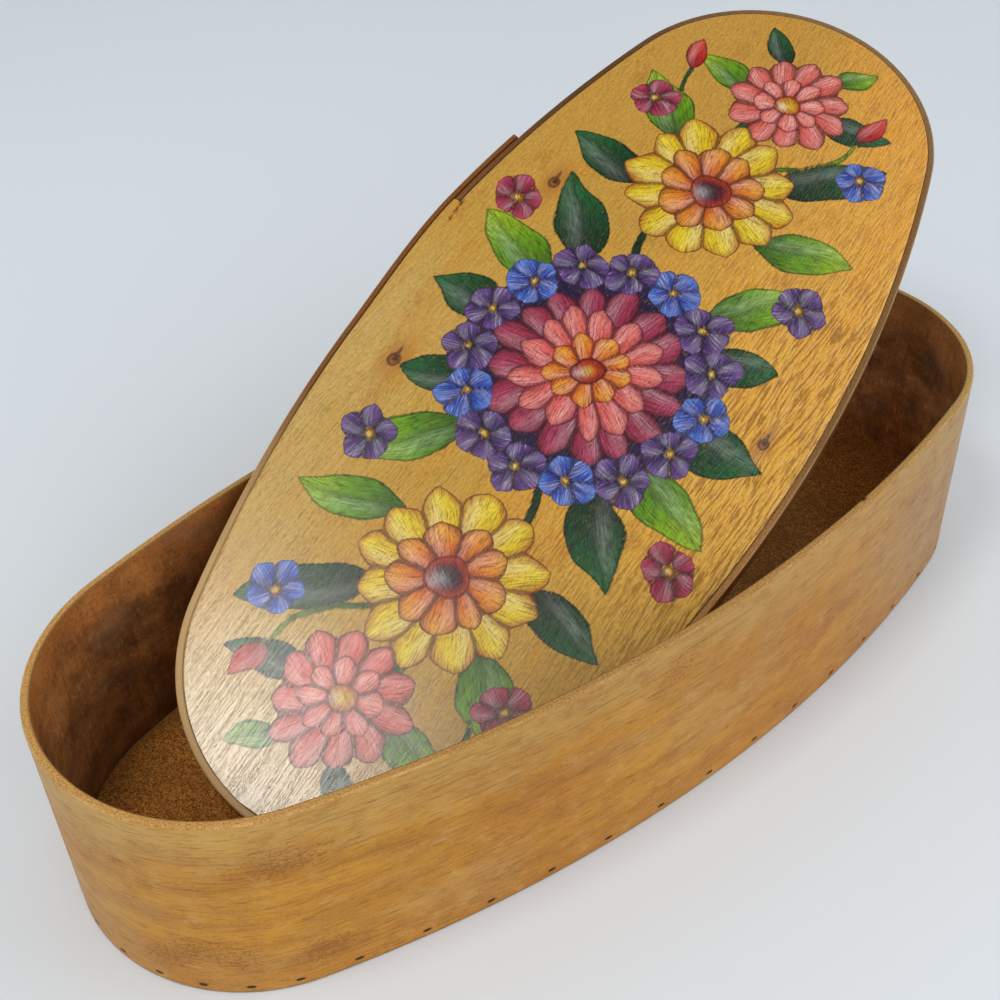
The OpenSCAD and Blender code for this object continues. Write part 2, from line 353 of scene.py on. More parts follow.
def brads(name, places, off, z, place):
    """Flat-headed brads: an oval head with a low crown on a square wire."""
    verts, faces = [], []
    ring = 16
    angles = np.linspace(0, 2 * math.pi, ring, endpoint=False)
    turn = np.stack([np.cos(angles), np.sin(angles)], 1)
    # A little fuller than an ellipse, and kept inside the solid head
    shape = np.sign(turn) * np.abs(turn) ** 0.8 * np.array([HEAD_W * 0.45, HEAD_H * 0.43])
    levels = [(-HEAD_T + HEAD_PROUD, 0.92), (-0.12, 1.0), (HEAD_PROUD - 0.1, 0.94), (HEAD_PROUD - 0.02, 0.7)]
    point, normal = oval_at(places)
    for p, nrm in zip(point, normal):
        side = np.array([-nrm[1], nrm[0]])
        base = len(verts)

        def at(out, along, up):
            q = p + nrm * (off + out) + side * along
            return (q[0], q[1], z + up)

        for out, k in levels:
            verts += [at(out, a * k, b * k) for a, b in shape]
        verts.append(at(HEAD_PROUD, 0, 0))
        crown = len(verts) - 1
        for lv in range(len(levels) - 1):
            for i in range(ring):
                j = (i + 1) % ring
                r0, r1 = base + lv * ring, base + (lv + 1) * ring
                faces.append([r0 + i, r0 + j, r1 + j, r1 + i])
        last = base + (len(levels) - 1) * ring
        faces += [[last + i, last + (i + 1) % ring, crown] for i in range(ring)]
        faces.append([base + i for i in range(ring)][::-1])
        h = WIRE / 2
        foot = len(verts)
        inner, tip = -HEAD_T + HEAD_PROUD, -BRAD_L
        for out, k in ((inner, 1.0), (tip + 2.0, 1.0), (tip, 0.35)):
            verts += [at(out, a * h * k, b * h * k) for a, b in ((-1, -1), (1, -1), (1, 1), (-1, 1))]
        for lv in range(2):
            for i in range(4):
                j = (i + 1) % 4
                r0, r1 = foot + lv * 4, foot + (lv + 1) * 4
                faces.append([r0 + j, r0 + i, r1 + i, r1 + j])
        faces += [[foot, foot + 1, foot + 2, foot + 3], [foot + 11, foot + 10, foot + 9, foot + 8]]
    return make_object(name, verts, faces, place, {}, smooth=False)


# Shader trees
def rgb(r, g, b):
    """A colour given in display values from 0 to 255."""
    shown = [c / 255 for c in (r, g, b)]
    return tuple(c / 12.92 if c <= 0.04045 else ((c + 0.055) / 1.055) ** 2.4 for c in shown) + (1.0,)


class Nodes:
    """Adds nodes to a tree: each call gives the output of the node that it adds."""

    def __init__(self, tree):
        self.tree = tree

    def plug(self, socket, value):
        if isinstance(value, bpy.types.NodeSocket):
            self.tree.links.new(value, socket)
        else:
            socket.default_value = value

    def node(self, kind, inputs, **settings):
        n = self.tree.nodes.new(kind)
        for key, value in settings.items():
            setattr(n, key, value)
        for key, value in inputs.items():
            self.plug(n.inputs[key], value)
        return n

    def field(self, name, output="Fac"):
        return self.node("ShaderNodeAttribute", {}, attribute_name=name).outputs[output]

    def math(self, op, a, b=0.0, c=0.0):
        return self.node("ShaderNodeMath", {0: a, 1: b, 2: c}, operation=op).outputs[0]

    def times(self, a, b):
        return self.math("MULTIPLY", a, b)

    def plus(self, a, b):
        return self.math("ADD", a, b)

    def minus(self, a, b):
        return self.math("SUBTRACT", a, b)

    def away(self, value, place):
        """How far a value lies from a place, on either side."""
        return self.math("ABSOLUTE", self.minus(value, place))

    def swing(self, noise, reach):
        """A noise moved to lie about nothing, times its reach."""
        return self.times(self.minus(noise, 0.5), reach)

    def length(self, a, b):
        return self.math("SQRT", self.plus(self.times(a, a), self.times(b, b)))

    def join(self, x, y, z=0.0):
        return self.node("ShaderNodeCombineXYZ", {0: x, 1: y, 2: z}).outputs[0]

    def parts(self, vector):
        return self.node("ShaderNodeSeparateXYZ", {0: vector}).outputs

    def noise(self, vector, scale=1.0, detail=3.0, rough=0.5, warp=0.0):
        inputs = {"Vector": vector, "Scale": scale, "Detail": detail, "Roughness": rough, "Distortion": warp}
        return self.node("ShaderNodeTexNoise", inputs).outputs["Fac"]

    def cells(self, vector, scale, feature="F1", output="Distance"):
        inputs = {"Vector": vector, "Scale": scale}
        return self.node("ShaderNodeTexVoronoi", inputs, feature=feature).outputs[output]

    def fade(self, value, low, high, to_low=0.0, to_high=1.0, shape="SMOOTHSTEP"):
        """A value taken from low to high over to a new range."""
        inputs = {"Value": value, 1: low, 2: high, 3: to_low, 4: to_high}
        return self.node("ShaderNodeMapRange", inputs, interpolation_type=shape).outputs[0]

    def mix(self, fac, a, b, blend="MIX"):
        n = self.tree.nodes.new("ShaderNodeMix")
        n.data_type, n.blend_type = "RGBA", blend
        for socket, value in ((n.inputs[0], fac), (n.inputs[6], a), (n.inputs[7], b)):
            self.plug(socket, value)
        return n.outputs[2]

    def ramp(self, fac, stops):
        n = self.node("ShaderNodeValToRGB", {0: fac})
        while len(n.color_ramp.elements) < len(stops):
            n.color_ramp.elements.new(0.5)
        for element, (place, colour) in zip(n.color_ramp.elements, stops):
            element.position, element.color = place, colour
        return n.outputs[0]

    def bump(self, height, distance, strength=1.0):
        inputs = {"Height": height, "Distance": distance, "Strength": strength}
        return self.node("ShaderNodeBump", inputs).outputs[0]


class Shader(Nodes):
    """A material with one main shader."""

    def __init__(self, name):
        self.material = bpy.data.materials.new(name)
        self.material.use_nodes = True
        super().__init__(self.material.node_tree)
        self.tree.nodes.clear()
        out = self.tree.nodes.new("ShaderNodeOutputMaterial")
        self.main = self.tree.nodes.new("ShaderNodeBsdfPrincipled")
        self.tree.links.new(self.main.outputs[0], out.inputs[0])

    def finish(self, colour, roughness, normal=None, specular=0.4):
        self.plug(self.main.inputs["Base Color"], colour)
        self.plug(self.main.inputs["Roughness"], roughness)
        self.main.inputs["Specular IOR Level"].default_value = specular
        if normal is not None:
            self.plug(self.main.inputs["Normal"], normal)
        return self.material


def side_material():
    """Bent side: honey wood with level grain outside, mottled dark stain inside, worn tan rim; painted shade at the
    right end and painted light at the left end outside, and painted light inside the right end.
    """
    m = Shader("bent_wood")
    along, high, across, brad, stain = (m.field(k) for k in ("along", "high", "across", "brad", "stain"))

    def at(k_along, k_high, seed):
        return m.join(m.times(along, k_along), m.times(high, k_high), seed)

    # Outer face
    bands = m.noise(at(0.012, 0.12, 3.1), 1.0, 4.0, 0.6, 0.3)
    pores = m.noise(at(0.11, 2.0, 8.0), 1.0, 2.0, 0.5)
    lines = m.noise(at(0.022, 0.75, 17.0), 1.0, 3.0, 0.6, 0.2)
    grit = m.noise(at(0.7, 1.0, 4.0), 1.0, 5.0, 0.72)
    cloud = m.noise(at(0.016, 0.032, 1.0), 1.0, 4.0, 0.6)
    haze = m.noise(at(0.013, 0.028, 41.0), 1.0, 4.0, 0.62)
    dapple = m.noise(at(0.05, 0.11, 6.0), 1.0, 4.0, 0.65)
    pore = m.fade(pores, 0.57, 0.66)
    right, left = m.away(along, RIGHT_S), m.away(along, LEFT_S)
    outer = m.ramp(bands, [(0.3, rgb(164, 104, 22)), (0.5, rgb(184, 124, 30)), (0.7, rgb(198, 140, 44))])
    outer = m.mix(m.fade(cloud, 0.46, 0.62, 0.0, 0.55), outer, rgb(170, 104, 32))
    outer = m.mix(m.fade(haze, 0.48, 0.64, 0.0, 0.55), outer, rgb(182, 138, 78))
    outer = m.mix(m.fade(dapple, 0.5, 0.64, 0.0, 0.45), outer, rgb(156, 98, 40))
    outer = m.mix(m.fade(right, 190.0, 70.0, 0.0, 0.65), outer, rgb(174, 148, 116))
    lift = m.plus(high, m.swing(dapple, 44.0))
    outer = m.mix(m.fade(lift, 50.0, 80.0, 0.0, 0.7), outer, rgb(182, 144, 78))
    outer = m.mix(m.fade(lift, 24.0, 2.0, 0.0, 0.4), outer, rgb(172, 106, 36))
    blotch = m.noise(at(0.085, 0.12, 51.0), 1.0, 5.0, 0.7)
    outer = m.mix(m.fade(blotch, 0.5, 0.62, 0.0, 0.4), outer, rgb(150, 94, 34))
    outer = m.mix(m.fade(blotch, 0.46, 0.34, 0.0, 0.4), outer, rgb(196, 156, 92))
    outer = m.mix(m.fade(grit, 0.42, 0.62, 0.0, 0.3), outer, rgb(206, 156, 72))
    outer = m.mix(m.times(stain, 0.4), outer, rgb(156, 92, 24))
    outer = m.mix(m.fade(lines, 0.56, 0.7, 0.0, 0.5), outer, rgb(142, 84, 30))
    speck = m.plus(stain, m.swing(grit, 4.4))
    outer = m.mix(m.fade(speck, 0.6, 0.9, 0.0, 0.55), outer, rgb(112, 58, 6))
    outer = m.mix(m.times(pore, 0.45), outer, rgb(112, 64, 22))
    outer = m.mix(m.fade(high, 1.3, 0.3, 0.0, 0.5), outer, rgb(110, 84, 56))
    # Painted shade darkens the outer face at the right end, and painted light lightens it at the left end
    outer = m.mix(m.fade(right, 190.0, 70.0), outer, (0.9, 0.91, 0.92, 1.0), "MULTIPLY")
    outer = m.mix(m.fade(left, 170.0, 60.0), outer, (1.1, 1.14, 1.18, 1.0), "MULTIPLY")

    # Inner face
    mottle = m.noise(at(0.045, 0.06, 12.0), 1.0, 6.0, 0.68)
    upright = m.noise(at(0.42, 0.035, 5.0), 1.0, 4.0, 0.6, 0.4)
    inner = m.ramp(mottle, [(0.35, rgb(90, 54, 28)), (0.5, rgb(140, 88, 45)), (0.65, rgb(180, 119, 67))])
    inner = m.mix(m.fade(upright, 0.48, 0.7, 0.0, 0.45), inner, rgb(84, 48, 22))
    warm = m.plus(high, m.swing(mottle, 46.0))
    inner = m.mix(m.fade(warm, 54.0, 80.0, 0.0, 0.5), inner, rgb(186, 114, 54))
    inner = m.mix(m.fade(grit, 0.5, 0.64, 0.0, 0.6), inner, rgb(70, 42, 22))
    fleck = m.noise(at(0.9, 0.16, 21.0), 1.0, 3.0, 0.6)
    inner = m.mix(m.fade(fleck, 0.58, 0.68, 0.0, 0.42), inner, rgb(198, 146, 92))
    smudge = m.noise(at(0.03, 0.045, 31.0), 1.0, 5.0, 0.65)
    inner = m.mix(m.fade(smudge, 0.5, 0.66, 0.0, 0.45), inner, rgb(116, 88, 64))
    # Painted light: the inner face at the right end is lightened, most towards the foot, where the lid shades it
    inner_right_painted_light = m.mix(m.fade(high, 70.0, 25.0), (1.12, 1.3, 1.6, 1.0), (2.1, 2.65, 3.5, 1.0))
    inner = m.mix(m.fade(right, 190.0, 110.0), inner, inner_right_painted_light, "MULTIPLY")
    colour = m.mix(m.fade(across, 0.4, 0.08), outer, inner)

    # Rim and its chip
    rim = m.fade(high, BODY_H - 1.2, BODY_H - 0.5)
    grains = m.noise(m.join(m.times(along, 1.3), m.times(across, 5.0), 2.0), 1.0, 4.0, 0.65)
    tan = m.ramp(grains, [(0.34, rgb(134, 92, 42)), (0.5, rgb(170, 124, 62)), (0.66, rgb(194, 150, 86))])
    wear = m.noise(m.join(m.times(along, 0.03), 2.0, 5.0), 1.0, 4.0, 0.65)
    worn = m.times(m.fade(across, 0.7, 0.88), m.fade(wear, 0.42, 0.66, 0.0, 0.3))
    tan = m.mix(worn, tan, rgb(224, 190, 130))
    tan = m.mix(m.fade(across, 0.26, 0.1, 0.0, 0.7), tan, rgb(96, 58, 24))
    tan = m.mix(m.fade(left, 170.0, 60.0), tan, (1.25, 1.27, 1.3, 1.0), "MULTIPLY")
    tan = m.mix(m.fade(right, 170.0, 60.0), tan, (1.1, 1.25, 1.4, 1.0), "MULTIPLY")
    colour = m.mix(rim, colour, tan)
    chip = m.fade(m.away(along, CHIP_S), 1.7, 0.9)
    inside = m.times(m.fade(across, 0.55, 0.35), m.fade(high, BODY_H - 3.0, BODY_H - 1.0))
    chip = m.times(chip, inside)
    colour = m.mix(m.times(chip, 0.8), colour, rgb(40, 22, 10))

    # A dark edge round each brad
    dx = m.math("DIVIDE", brad, 1.9)
    dz = m.math("DIVIDE", m.minus(high, BRAD_Z), 0.95)
    around = m.length(dx, dz)
    dent = m.times(m.fade(around, 1.1, 0.9, 0.0, 0.3), m.fade(across, 0.6, 0.9))
    colour = m.mix(dent, colour, rgb(84, 46, 20))
    rough = m.fade(m.plus(grit, m.times(pore, 0.4)), 0.35, 0.8, 0.38, 0.56)
    height = m.minus(m.times(grit, 0.5), pore)
    return m.finish(colour, rough, m.bump(height, 0.00010, 0.6), 0.22)


def bottom_material():
    """Particle board: small brown chips of many tones, lightened towards the right end with painted light."""
    m = Shader("particle_board")
    spot = m.field("spot", "Vector")
    edge = m.field("edge")
    tone = m.parts(m.cells(spot, 2.0, "F1", "Color"))[0]
    gap = m.cells(spot, 2.0, "DISTANCE_TO_EDGE")
    fine = m.noise(spot, 2.6, 4.0, 0.75)
    broad = m.noise(spot, 0.03, 3.0, 0.6)
    mixed = m.plus(m.times(tone, 0.3), m.times(fine, 0.92))
    colour = m.ramp(mixed, [
        (0.4, rgb(46, 25, 9)), (0.54, rgb(128, 77, 28)), (0.7, rgb(172, 108, 45)), (0.88, rgb(212, 146, 76))])
    colour = m.mix(m.fade(gap, 0.16, 0.0, 0.0, 0.25), colour, rgb(62, 35, 13))
    colour = m.mix(m.fade(broad, 0.4, 0.65, 0.0, 0.4), colour, rgb(104, 60, 20))
    # Painted light: the chips are lightened more towards the right end, where the lid shades the board
    lift = m.mix(m.fade(m.parts(spot)[0], -140.0, 100.0), (2.15, 2.4, 2.4, 1.0), (2.2, 3.05, 4.6, 1.0))
    colour = m.mix(1.0, colour, lift, "MULTIPLY")
    colour = m.mix(m.fade(edge, 1.5, 0.5, 0.0, 0.45), colour, rgb(200, 156, 96))
    height = m.plus(m.times(tone, 0.5), fine)
    return m.finish(colour, 0.7, m.bump(height, 0.0006, 0.8), 0.25)


def rim_material():
    """Band of the lid: end grain along its top, a worn pale outer edge and a dark seam at the panel, with painted
    sheen at its left end and painted shade along its right end.
    """
    m = Shader("lid_band_wood")
    along, high, across = (m.field(k) for k in ("along", "high", "across"))
    level = m.join(m.times(along, 0.06), m.times(high, 1.3), m.times(across, 2.0))
    streak = m.noise(level, 1.0, 4.0, 0.62)
    colour = m.ramp(streak, [(0.3, rgb(124, 76, 30)), (0.5, rgb(164, 108, 46)), (0.7, rgb(188, 132, 64))])
    grit = m.noise(m.join(m.times(along, 1.4), m.times(across, 4.0), 4.0), 1.0, 4.0, 0.65)
    end = m.ramp(grit, [(0.34, rgb(134, 88, 44)), (0.5, rgb(174, 122, 64)), (0.66, rgb(198, 146, 86))])
    right = m.away(along, BAND_RIGHT_S)
    seam = m.times(m.fade(across, 0.3, 0.08, 0.0, 0.75), m.fade(right, 170.0, 260.0, 0.3, 1.0))
    end = m.mix(seam, end, rgb(58, 32, 14))
    wear = m.noise(m.join(m.times(along, 0.05), 1.0, 7.0), 1.0, 4.0, 0.6)
    worn = m.times(m.fade(across, 0.7, 0.95), m.fade(wear, 0.35, 0.65, 0.25, 0.95))
    end = m.mix(worn, end, rgb(226, 188, 130))
    colour = m.mix(m.fade(high, -0.8, -0.3), colour, end)
    lap = m.away(along, back_s(TIP_A))
    lap = m.math("MINIMUM", lap, m.away(along, back_s(TIP_A) + ROUND))
    lap = m.fade(m.plus(lap, m.times(wear, 60.0)), 230.0, 120.0, 0.0, 0.8)
    colour = m.mix(lap, colour, rgb(162, 126, 80), "MULTIPLY")
    # Painted sheen: the band is paler at its left end, where the lamp's reflection falls
    left = m.away(along, LEFT_S)
    colour = m.mix(m.fade(left, 190.0, 80.0, 0.0, 0.55), colour, rgb(206, 176, 124))
    # Painted shade: the band is darkened and greyed along its right end
    band_right_painted_shade = m.mix(m.fade(along, BAND_RIGHT_S, BAND_RIGHT_S - 70.0), (0.56, 0.68, 0.98, 1.0), (0.48, 0.48, 0.5, 1.0))
    colour = m.mix(m.fade(right, 260.0, 170.0), colour, band_right_painted_shade, "MULTIPLY")
    rough = m.fade(grit, 0.3, 0.7, 0.36, 0.5)
    return m.finish(colour, rough, m.bump(m.plus(grit, streak), 0.00010, 0.6), 0.2)


def brad_material():
    m = Shader("dark_brads")
    place = m.node("ShaderNodeTexCoord", {}).outputs["Object"]
    spots = m.noise(place, 900.0, 4.0, 0.6)
    colour = m.ramp(spots, [(0.35, rgb(36, 25, 18)), (0.6, rgb(62, 43, 29)), (0.8, rgb(98, 66, 42))])
    m.main.inputs["Metallic"].default_value = 0.4
    return m.finish(colour, m.fade(spots, 0.3, 0.7, 0.45, 0.7), None, 0.3)


def panel_material(layers):
    """Golden varnished panel with raised grain along its length, and coloured pencil over it; painted shade at its
    left end, painted sheen along its back-left edge and painted light on its front.
    """
    m = Shader("lid_wood")
    grain = m.parts(m.field("grain", "Vector"))
    spot = m.parts(m.field("spot", "Vector"))
    x, y, knot = grain[0], grain[1], grain[2]

    def at(k_x, k_y, seed):
        return m.join(m.times(x, k_x), m.times(y, k_y), seed)

    # Grain
    figure = m.noise(at(0.010, 0.035, 2.0), 1.0, 4.0, 0.6, 0.4)
    ridge = m.noise(at(0.13, 1.6, 6.0), 1.0, 2.0, 0.5, 0.25)
    open_ridge = m.noise(at(0.085, 0.95, 27.0), 1.0, 2.0, 0.55, 0.3)
    fibre = m.noise(at(0.12, 2.6, 9.0), 1.0, 2.0, 0.6)
    tooth = m.noise(at(0.4, 1.6, 14.0), 1.0, 3.0, 0.65)
    pebble = m.noise(at(0.6, 1.15, 31.0), 1.0, 3.0, 0.65)
    dapple = m.noise(at(0.05, 0.09, 4.0), 1.0, 4.0, 0.6)
    place = m.plus(m.times(spot[1], -1.0), m.swing(figure, 120.0))
    raised = m.times(m.fade(place, -40.0, 50.0, 0.35, 1.0), m.fade(spot[0], -150.0, 0.0, 0.2, 1.0))
    worn = m.times(m.fade(place, 10.0, 60.0), m.fade(spot[0], -130.0, -60.0))
    worn = m.times(worn, m.fade(spot[0], 130.0, 60.0, 0.25, 1.0))
    valley = m.times(m.fade(ridge, 0.48, 0.41, 0.0, 0.6), raised)
    valley = m.math("MAXIMUM", valley, m.times(m.fade(open_ridge, 0.48, 0.43), worn))
    crest = m.times(m.fade(ridge, 0.53, 0.62), raised)
    crest = m.math("MAXIMUM", crest, m.times(m.fade(open_ridge, 0.5, 0.58), worn))
    # Colour of the wood, with painted light and shade in places
    far = m.fade(m.plus(spot[0], m.swing(dapple, 160.0)), -90.0, 190.0)
    colour = m.mix(far, rgb(198, 155, 66), rgb(196, 146, 60))
    # Painted shade: the left end, under the lamp's sheen, is darker
    left_end_painted_shade = m.times(m.fade(spot[0], -90.0, -190.0, 0.0, 0.7), m.fade(spot[1], -70.0, 0.0, 0.4, 1.0))
    colour = m.mix(left_end_painted_shade, colour, rgb(164, 134, 56))
    # Painted sheen: paler along the back edge of the left half
    edge = m.times(m.fade(spot[1], 30.0, 78.0, 0.0, 0.55), m.fade(spot[0], 40.0, -20.0))
    colour = m.mix(edge, colour, rgb(206, 174, 108))
    colour = m.mix(m.fade(figure, 0.46, 0.66, 0.0, 0.5), colour, rgb(200, 138, 42))
    colour = m.mix(m.fade(dapple, 0.55, 0.72, 0.0, 0.4), colour, rgb(162, 100, 32))
    # Painted light: the front of the panel is warmed and brightened
    front_painted_light = m.times(m.fade(place, -20.0, 60.0), m.fade(spot[0], -110.0, -30.0))
    colour = m.mix(front_painted_light, colour, (1.45, 1.27, 0.86, 1.0), "MULTIPLY")
    colour = m.mix(m.times(crest, 0.4), colour, rgb(222, 176, 82))
    colour = m.mix(m.times(valley, 0.7), colour, rgb(130, 80, 22))
    colour = m.mix(m.fade(fibre, 0.54, 0.7, 0.0, 0.2), colour, rgb(138, 88, 30))
    colour = m.mix(m.fade(pebble, 0.5, 0.68, 0.0, 0.35), colour, rgb(226, 182, 96))
    colour = m.mix(m.fade(pebble, 0.5, 0.32, 0.0, 0.35), colour, rgb(138, 90, 32))
    # Hair scratches, scars and knots
    hair = m.noise(at(0.03, 1.3, 23.0), 1.0, 1.0, 0.5)
    tick = m.fade(m.away(hair, 0.5), 0.06, 0.015)
    tick = m.times(tick, m.fade(tooth, 0.42, 0.56))
    tick = m.times(tick, m.fade(spot[0], 20.0, -120.0, 0.3, 1.0))
    colour = m.mix(m.times(tick, 0.6), colour, rgb(116, 84, 38))
    colour = m.mix(m.fade(knot, 0.04, 0.28, 0.0, 0.55), colour, rgb(168, 98, 34))
    scar = m.fade(m.plus(knot, m.minus(tooth, 0.5)), 0.34, 0.55, 0.0, 0.8)
    colour = m.mix(scar, colour, rgb(74, 40, 16))
    wobble = m.swing(tooth, 1.2)

    def oval(x0, y0, r_x, r_y):
        """Distance from a place on the panel, 1 on an uneven oval round it."""
        a = m.math("DIVIDE", m.minus(spot[0], x0), r_x)
        b = m.math("DIVIDE", m.minus(spot[1], y0), r_y)
        return m.plus(m.length(a, b), wobble)

    for k_x, k_y, r in KNOTS:
        eye = oval(k_x, k_y, 1.25 * r, r)
        tail = oval(k_x + 1.6 * r, k_y + 0.1 * r, 1.3 * r, 0.36 * r)
        core = oval(k_x + 0.25 * r, k_y - 0.1 * r, 0.65 * r, 0.55 * r)
        colour = m.mix(m.fade(eye, 1.15, 0.8, 0.0, 0.75), colour, rgb(132, 78, 30))
        ring = m.away(eye, 0.85)
        colour = m.mix(m.fade(ring, 0.34, 0.08, 0.0, 0.8), colour, rgb(84, 46, 18))
        colour = m.mix(m.fade(tail, 1.15, 0.6, 0.0, 0.8), colour, rgb(92, 52, 20))
        colour = m.mix(m.fade(core, 1.2, 0.5, 0.0, 0.9), colour, rgb(70, 28, 14))
    # Coloured pencil, one sheet over the other
    ink = None
    for name in layers:
        tint = m.field(name + "_tint", "Vector")
        draw = m.parts(m.field(name + "_draw", "Vector"))
        stroke = m.noise(m.join(m.times(draw[0], 0.15), m.times(draw[1], 1.7), 3.0), 1.0, 3.0, 0.6)
        scrawl = m.plus(m.swing(stroke, 1.2), m.swing(tooth, 1.6))
        cover = m.fade(m.plus(draw[2], scrawl), -0.4, 0.4)
        cover = m.times(cover, m.fade(tooth, 0.3, 0.46, 0.72, 1.0))
        shade = m.mix(m.fade(stroke, 0.5, 0.68, 0.0, 0.5), tint, tint, "SCREEN")
        pale = m.times(m.fade(stroke, 0.54, 0.7, 0.0, 0.35), m.fade(m.parts(tint)[2], 0.02, 0.3))
        shade = m.mix(pale, shade, rgb(246, 226, 214))
        shade = m.mix(m.fade(stroke, 0.5, 0.34, 0.0, 0.65), shade, rgb(126, 96, 98), "MULTIPLY")
        shade = m.mix(m.fade(tooth, 0.5, 0.38, 0.0, 0.4), shade, rgb(120, 96, 90), "MULTIPLY")
        line = m.times(m.fade(m.plus(draw[2], m.times(scrawl, 0.5)), 1.3, 0.3), 0.75)
        shade = m.mix(line, shade, rgb(104, 72, 78), "MULTIPLY")
        colour = m.mix(cover, colour, shade)
        ink = cover if ink is None else m.math("MAXIMUM", ink, cover)
    # Relief and gloss
    height = m.plus(m.times(ridge, raised), m.times(open_ridge, worn))
    height = m.plus(height, m.times(m.plus(pebble, tooth), 0.25))
    height = m.times(height, m.fade(spot[0], -150.0, -20.0, 0.24, 1.0))
    height = m.minus(height, m.times(tick, 0.055))
    rough = m.plus(m.fade(fibre, 0.3, 0.7, 0.19, 0.25), m.times(ink, 0.06))
    return m.finish(colour, rough, m.bump(height, 0.0004, 0.75), 0.9)


# The drawn decoration: a symmetrical garland of flowers in folk style
class Layer:
    """One sheet of drawing on the panel: distance inside each form, its colour and its stroke direction."""

    def __init__(self, xy):
        x, y = xy.T
        self.xy = np.column_stack([
            x + 0.8 * np.sin(y / 6.1 + 1.2 * np.sin(x / 11.0)) + 0.45 * np.sin(x / 3.3 + y / 4.1),
            y + 0.8 * np.sin(x / 6.7 + 1.1 * np.sin(y / 9.0)) + 0.45 * np.sin(y / 3.1 - x / 4.4)])
        self.inside = np.full(len(xy), -40.0)
        self.next = np.full(len(xy), -80.0)
        self.tint = np.zeros((len(xy), 3))
        self.draw = np.zeros((len(xy), 2))
        self.chance = np.random.RandomState(7)
        self.count = 0

    def stamp(self, inside, tint, u, v):
        """Add a form: the one that lies deepest inside itself has the place."""
        self.count += 1
        win = inside > self.inside
        self.next = np.where(win, self.inside, np.maximum(self.next, inside))
        self.inside[win] = inside[win]
        self.tint[win] = tint[win]
        self.draw[win, 0] = u[win] + 31.0 * self.count
        self.draw[win, 1] = v[win] + 17.0 * self.count

    def depth(self):
        """Distance inside the form, nothing where two forms meet."""
        return np.minimum(self.inside, (self.inside - self.next) / 2)

    def petal(self, at, angle, length, width, colours,
              belly=1.5, blunt=0.6, rim=None, bend=0.0, light=0.14, vein=False):
        """A pointed or blunt form from at, widest where belly puts it, with a lit side and perhaps veins."""
        a = math.radians(angle + self.chance.uniform(-3, 3))
        length, width = length * self.chance.uniform(0.93, 1.07), width * self.chance.uniform(0.92, 1.1)
        d = self.xy - np.array(at)
        u = d[:, 0] * math.cos(a) + d[:, 1] * math.sin(a)
        w = -d[:, 0] * math.sin(a) + d[:, 1] * math.cos(a)
        t = np.clip(u / length, 0, 1)
        w = w - bend * length * (t * t)
        half = width / 2 * np.sin(math.pi * t ** belly) ** blunt
        beyond = np.maximum(-u, u - length)
        inside = np.where(beyond > 0, -np.hypot(np.maximum(beyond, 0), np.abs(w)), half - np.abs(w))
        tint = blend(colours, t)
        if rim is not None:
            k = 0.85 * np.clip(1 - inside / (0.3 * width), 0, 1)[:, None]
            tint = tint * (1 - k) + np.array(rim[:3]) * k
        lit = light * np.exp(-((w - 0.16 * width) / (0.16 * width)) ** 2) * np.sin(math.pi * t)
        tint = tint * (1 - lit[:, None]) + lit[:, None]
        if vein:
            middle = np.exp(-(w / 0.9) ** 2)
            ribs = 0.6 * np.exp(-(((u - 1.1 * np.abs(w)) % 6.0 - 3.0) / 0.8) ** 2)
            tint = tint * (1 - 0.45 * np.maximum(middle, ribs)[:, None])
        self.stamp(inside, tint, u, w)

    def disc(self, at, radius, colours, light=0.3):
        d = self.xy - np.array(at)
        r = np.hypot(d[:, 0], d[:, 1])
        tint = blend(colours, np.clip(r / radius, 0, 1))
        glow = light * np.exp(-((d[:, 0] + 0.3 * radius) ** 2 + (d[:, 1] - 0.35 * radius) ** 2) / (0.4 * radius) ** 2)
        tint = tint * (1 - glow[:, None]) + glow[:, None]
        self.stamp(radius - r, tint, d[:, 0] * 0.7 + d[:, 1] * 0.7, d[:, 1] * 0.7 - d[:, 0] * 0.7)

    def stem(self, p0, p1, p2, width, colours):
        """A bent line from p0 to p2, drawn towards p1 on the way."""
        t = np.linspace(0, 1, 25)[:, None]
        curve = (1 - t) ** 2 * np.array(p0) + 2 * t * (1 - t) * np.array(p1) + t * t * np.array(p2)
        best, where = np.full(len(self.xy), 1e9), np.zeros(len(self.xy))
        for k in range(len(curve) - 1):
            step = curve[k + 1] - curve[k]
            f = np.clip((self.xy - curve[k]) @ step / (step @ step), 0, 1)
            r = np.hypot(*(self.xy - curve[k] - f[:, None] * step).T)
            near = r < best
            best[near], where[near] = r[near], ((k + f) / 24)[near]
        length = np.hypot(*np.diff(curve, axis=0).T).sum()
        self.stamp(width / 2 - best, blend(colours, where), where * length, best)


def blend(colours, t):
    """Colours mixed along t from 0 to 1, in equal steps."""
    c = np.array([k[:3] for k in colours])
    pos = np.clip(t, 0, 1) * (len(c) - 1)
    i = np.minimum(pos.astype(int), len(c) - 2)
    f = (pos - i)[:, None]
    return c[i] * (1 - f) + c[i + 1] * f


